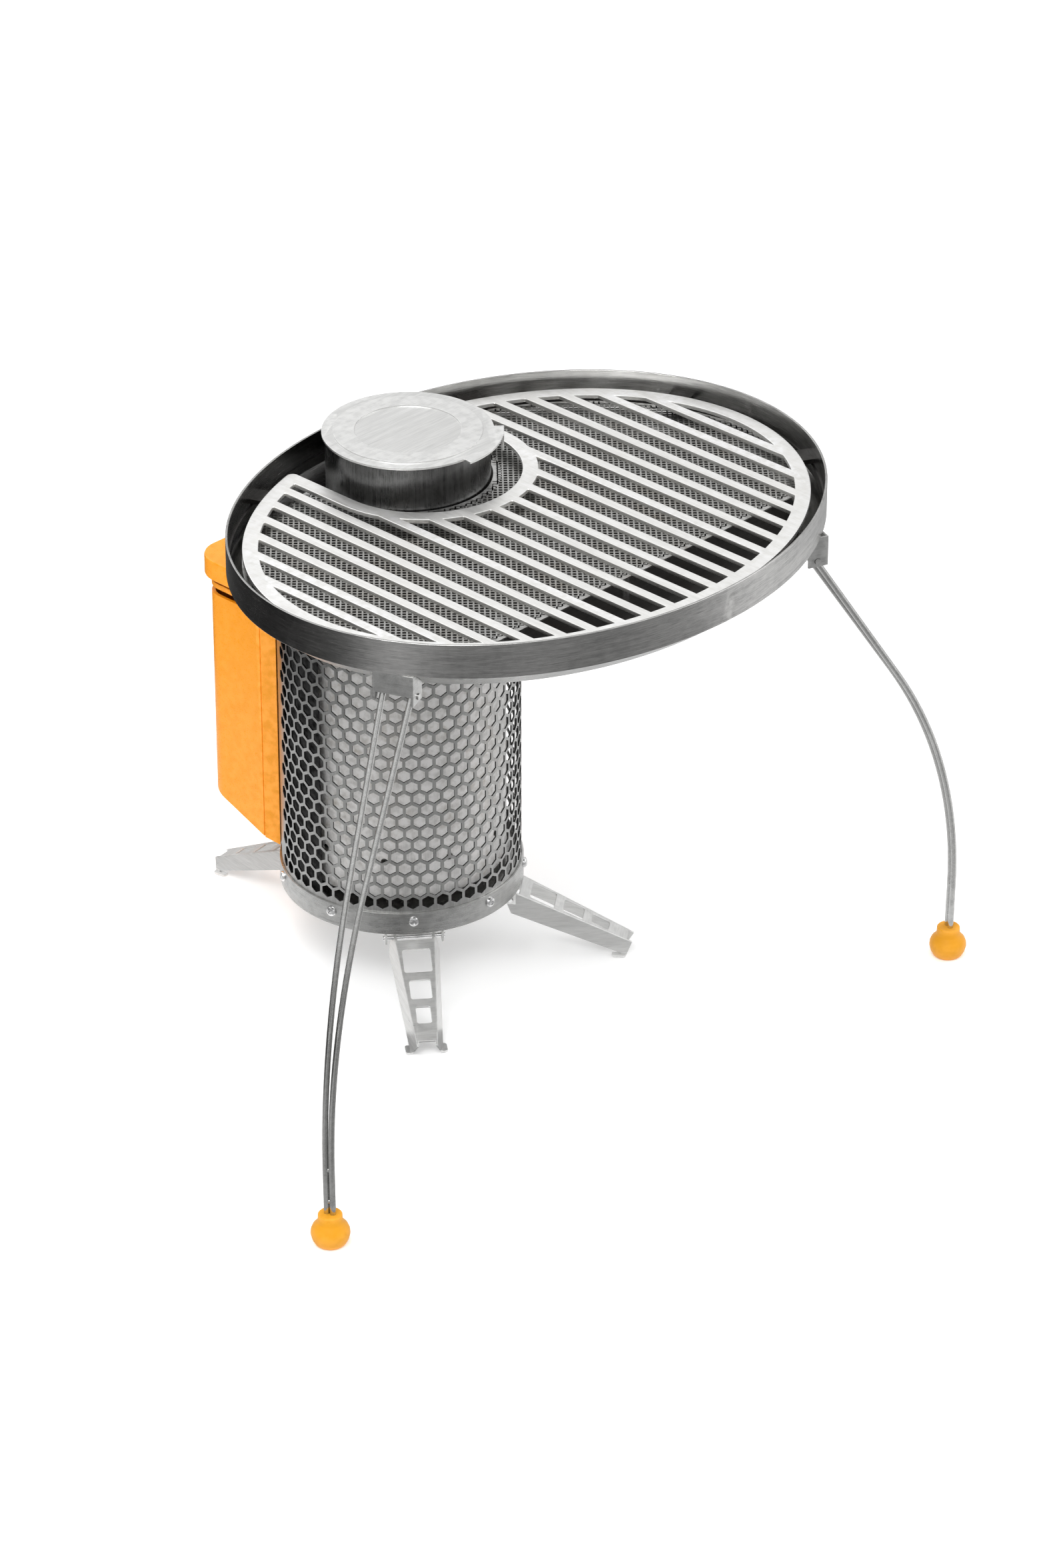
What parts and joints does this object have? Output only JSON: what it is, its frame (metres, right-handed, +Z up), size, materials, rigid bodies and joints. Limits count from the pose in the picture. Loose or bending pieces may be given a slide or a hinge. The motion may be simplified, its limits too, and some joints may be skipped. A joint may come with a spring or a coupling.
{
  "type": "wood-burning camp stove with grill",
  "caption": "Wood-burning camp stove with a clip-on fan module, folding legs and a lift-off oval grill on folding wire legs, with a removable grate and port lid",
  "frame": {"origin": "middle of the footprint of the whole object, on the ground it stands on", "axes": "+X along the grill, its longest extent; +Y from the grill towards the fan module; +Z up"},
  "size_m": [0.4332, 0.3536, 0.3008],
  "materials": {
    "shell_steel": "perforated stainless sheet, lightly brushed",
    "body_steel": "brushed stainless sheet",
    "chamber_steel": "bright rolled stainless sheet, a little heat tinted",
    "baffle_steel": "blackened sheet",
    "rim_steel": "brushed stainless band",
    "grate_steel": "stainless strip, satin",
    "diffuser_steel": "finely perforated stainless sheet",
    "pan_steel": "pressed stainless sheet",
    "collar_steel": "rolled stainless sheet, dark with reflections of the pan",
    "lid_steel": "brushed stainless disc with pressed rings",
    "wire_steel": "polished stainless wire",
    "screw_steel": "bright machine screws",
    "orange_plastic": "moulded heat-resistant plastic, fine satin grain",
    "orange_rubber": "moulded silicone rubber",
    "back_metal": "dark coated sheet",
    "probe_metal": "copper alloy",
    "sink_metal": "extruded, plain",
    "module_ceramic": "white ceramic tile faces",
    "board_green": "fibreglass board",
    "cell_wrap": "shrink wrap",
    "motor_can": "drawn steel can",
    "rotor_black": "moulded black plastic",
    "socket_steel": "plated sheet",
    "button_grey": "moulded dark plastic"
  },
  "bodies": {
    "stove": {"base_ring": "body_steel", "base_plate": "body_steel", "ring_screws": "screw_steel", "perforated_shell": "shell_steel", "burn_chamber": "chamber_steel", "air_baffle": "baffle_steel", "top_ring": "body_steel", "leg_hinge_pins": "screw_steel", "stove_leg_left_bracket": "body_steel", "stove_leg_right_bracket": "body_steel", "stove_leg_rear_bracket": "body_steel"},
    "module": {"module_housing": "orange_plastic", "module_cap": "orange_plastic", "module_back_plate": "back_metal", "back_plate_rivets": "screw_steel", "heat_probe": "probe_metal", "thermoelectric_plate": "module_ceramic", "heat_sink": "sink_metal", "circuit_board": "board_green", "battery": "cell_wrap", "fan_motor": "motor_can", "usb_socket": "socket_steel"},
    "fan": {"fan_rotor": "rotor_black"},
    "button": {"power_button": "button_grey"},
    "grill": {"rim_band": "rim_steel", "grill_pan": "pan_steel", "port_collar": "collar_steel", "diffuser_plate": "diffuser_steel", "diffuser_posts": "screw_steel", "grate_ledges": "rim_steel", "wire_bracket_left": "body_steel", "wire_bracket_right": "body_steel"},
    "cooking_grate": {"grate": "grate_steel"},
    "lid": {"port_lid": "lid_steel"},
    "leg_left": {"stove_leg_left": "body_steel"},
    "leg_right": {"stove_leg_right": "body_steel"},
    "leg_rear": {"stove_leg_rear": "body_steel"},
    "grill_leg_left": {"wire_leg_left": "wire_steel", "rubber_foot_left": "orange_rubber"},
    "grill_leg_right": {"wire_leg_right": "wire_steel", "rubber_foot_right": "orange_rubber"}
  },
  "joints": [
    {"name": "stove_leg_left_fold", "type": "hinge", "parent": "stove", "child": "leg_left", "pos_m": [-0.01554, 0.00804, 0.034], "axis": [0.7771, -0.6293, 0], "range_deg": [0, 129.5]},
    {"name": "stove_leg_right_fold", "type": "hinge", "parent": "stove", "child": "leg_right", "pos_m": [0.05771, 0.00676, 0.034], "axis": [0.7986, 0.6018, 0], "range_deg": [0, 140.25]},
    {"name": "stove_leg_rear_fold", "type": "hinge", "parent": "stove", "child": "leg_rear", "pos_m": [0.01362, 0.1132, 0.034], "axis": [-0.9903, -0.1392, 0], "range_deg": [0, 151]},
    {"name": "module_pull", "type": "slide", "parent": "stove", "child": "module", "axis": [0, 1, 0], "range_m": [0, 0.07]},
    {"name": "fan_spin", "type": "hinge", "parent": "module", "child": "fan", "pos_m": [0.0219, 0.13308, 0.096], "axis": [0, 1, 0], "continuous": true},
    {"name": "button_press", "type": "slide", "parent": "module", "child": "button", "axis": [0, -1, 0], "range_m": [0, 0.0008], "stiffness_N_per_m": 600},
    {"name": "grill_lift", "type": "slide", "parent": "stove", "child": "grill", "axis": [0, 0, 1], "range_m": [0, 0.06]},
    {"name": "grate_lift", "type": "slide", "parent": "grill", "child": "cooking_grate", "axis": [0, 0, 1], "range_m": [0, 0.05]},
    {"name": "lid_lift", "type": "slide", "parent": "grill", "child": "lid", "axis": [0, 0, 1], "range_m": [0, 0.04]},
    {"name": "grill_leg_left_fold", "type": "hinge", "parent": "grill", "child": "grill_leg_left", "pos_m": [-0.1226, -0.09072, 0.259], "axis": [0.3779, -0.9258, 0], "range_deg": [0, 105]},
    {"name": "grill_leg_right_fold", "type": "hinge", "parent": "grill", "child": "grill_leg_right", "pos_m": [0.1214, -0.13572, 0.259], "axis": [0.344, 0.939, 0], "range_deg": [0, 105]}
  ]
}
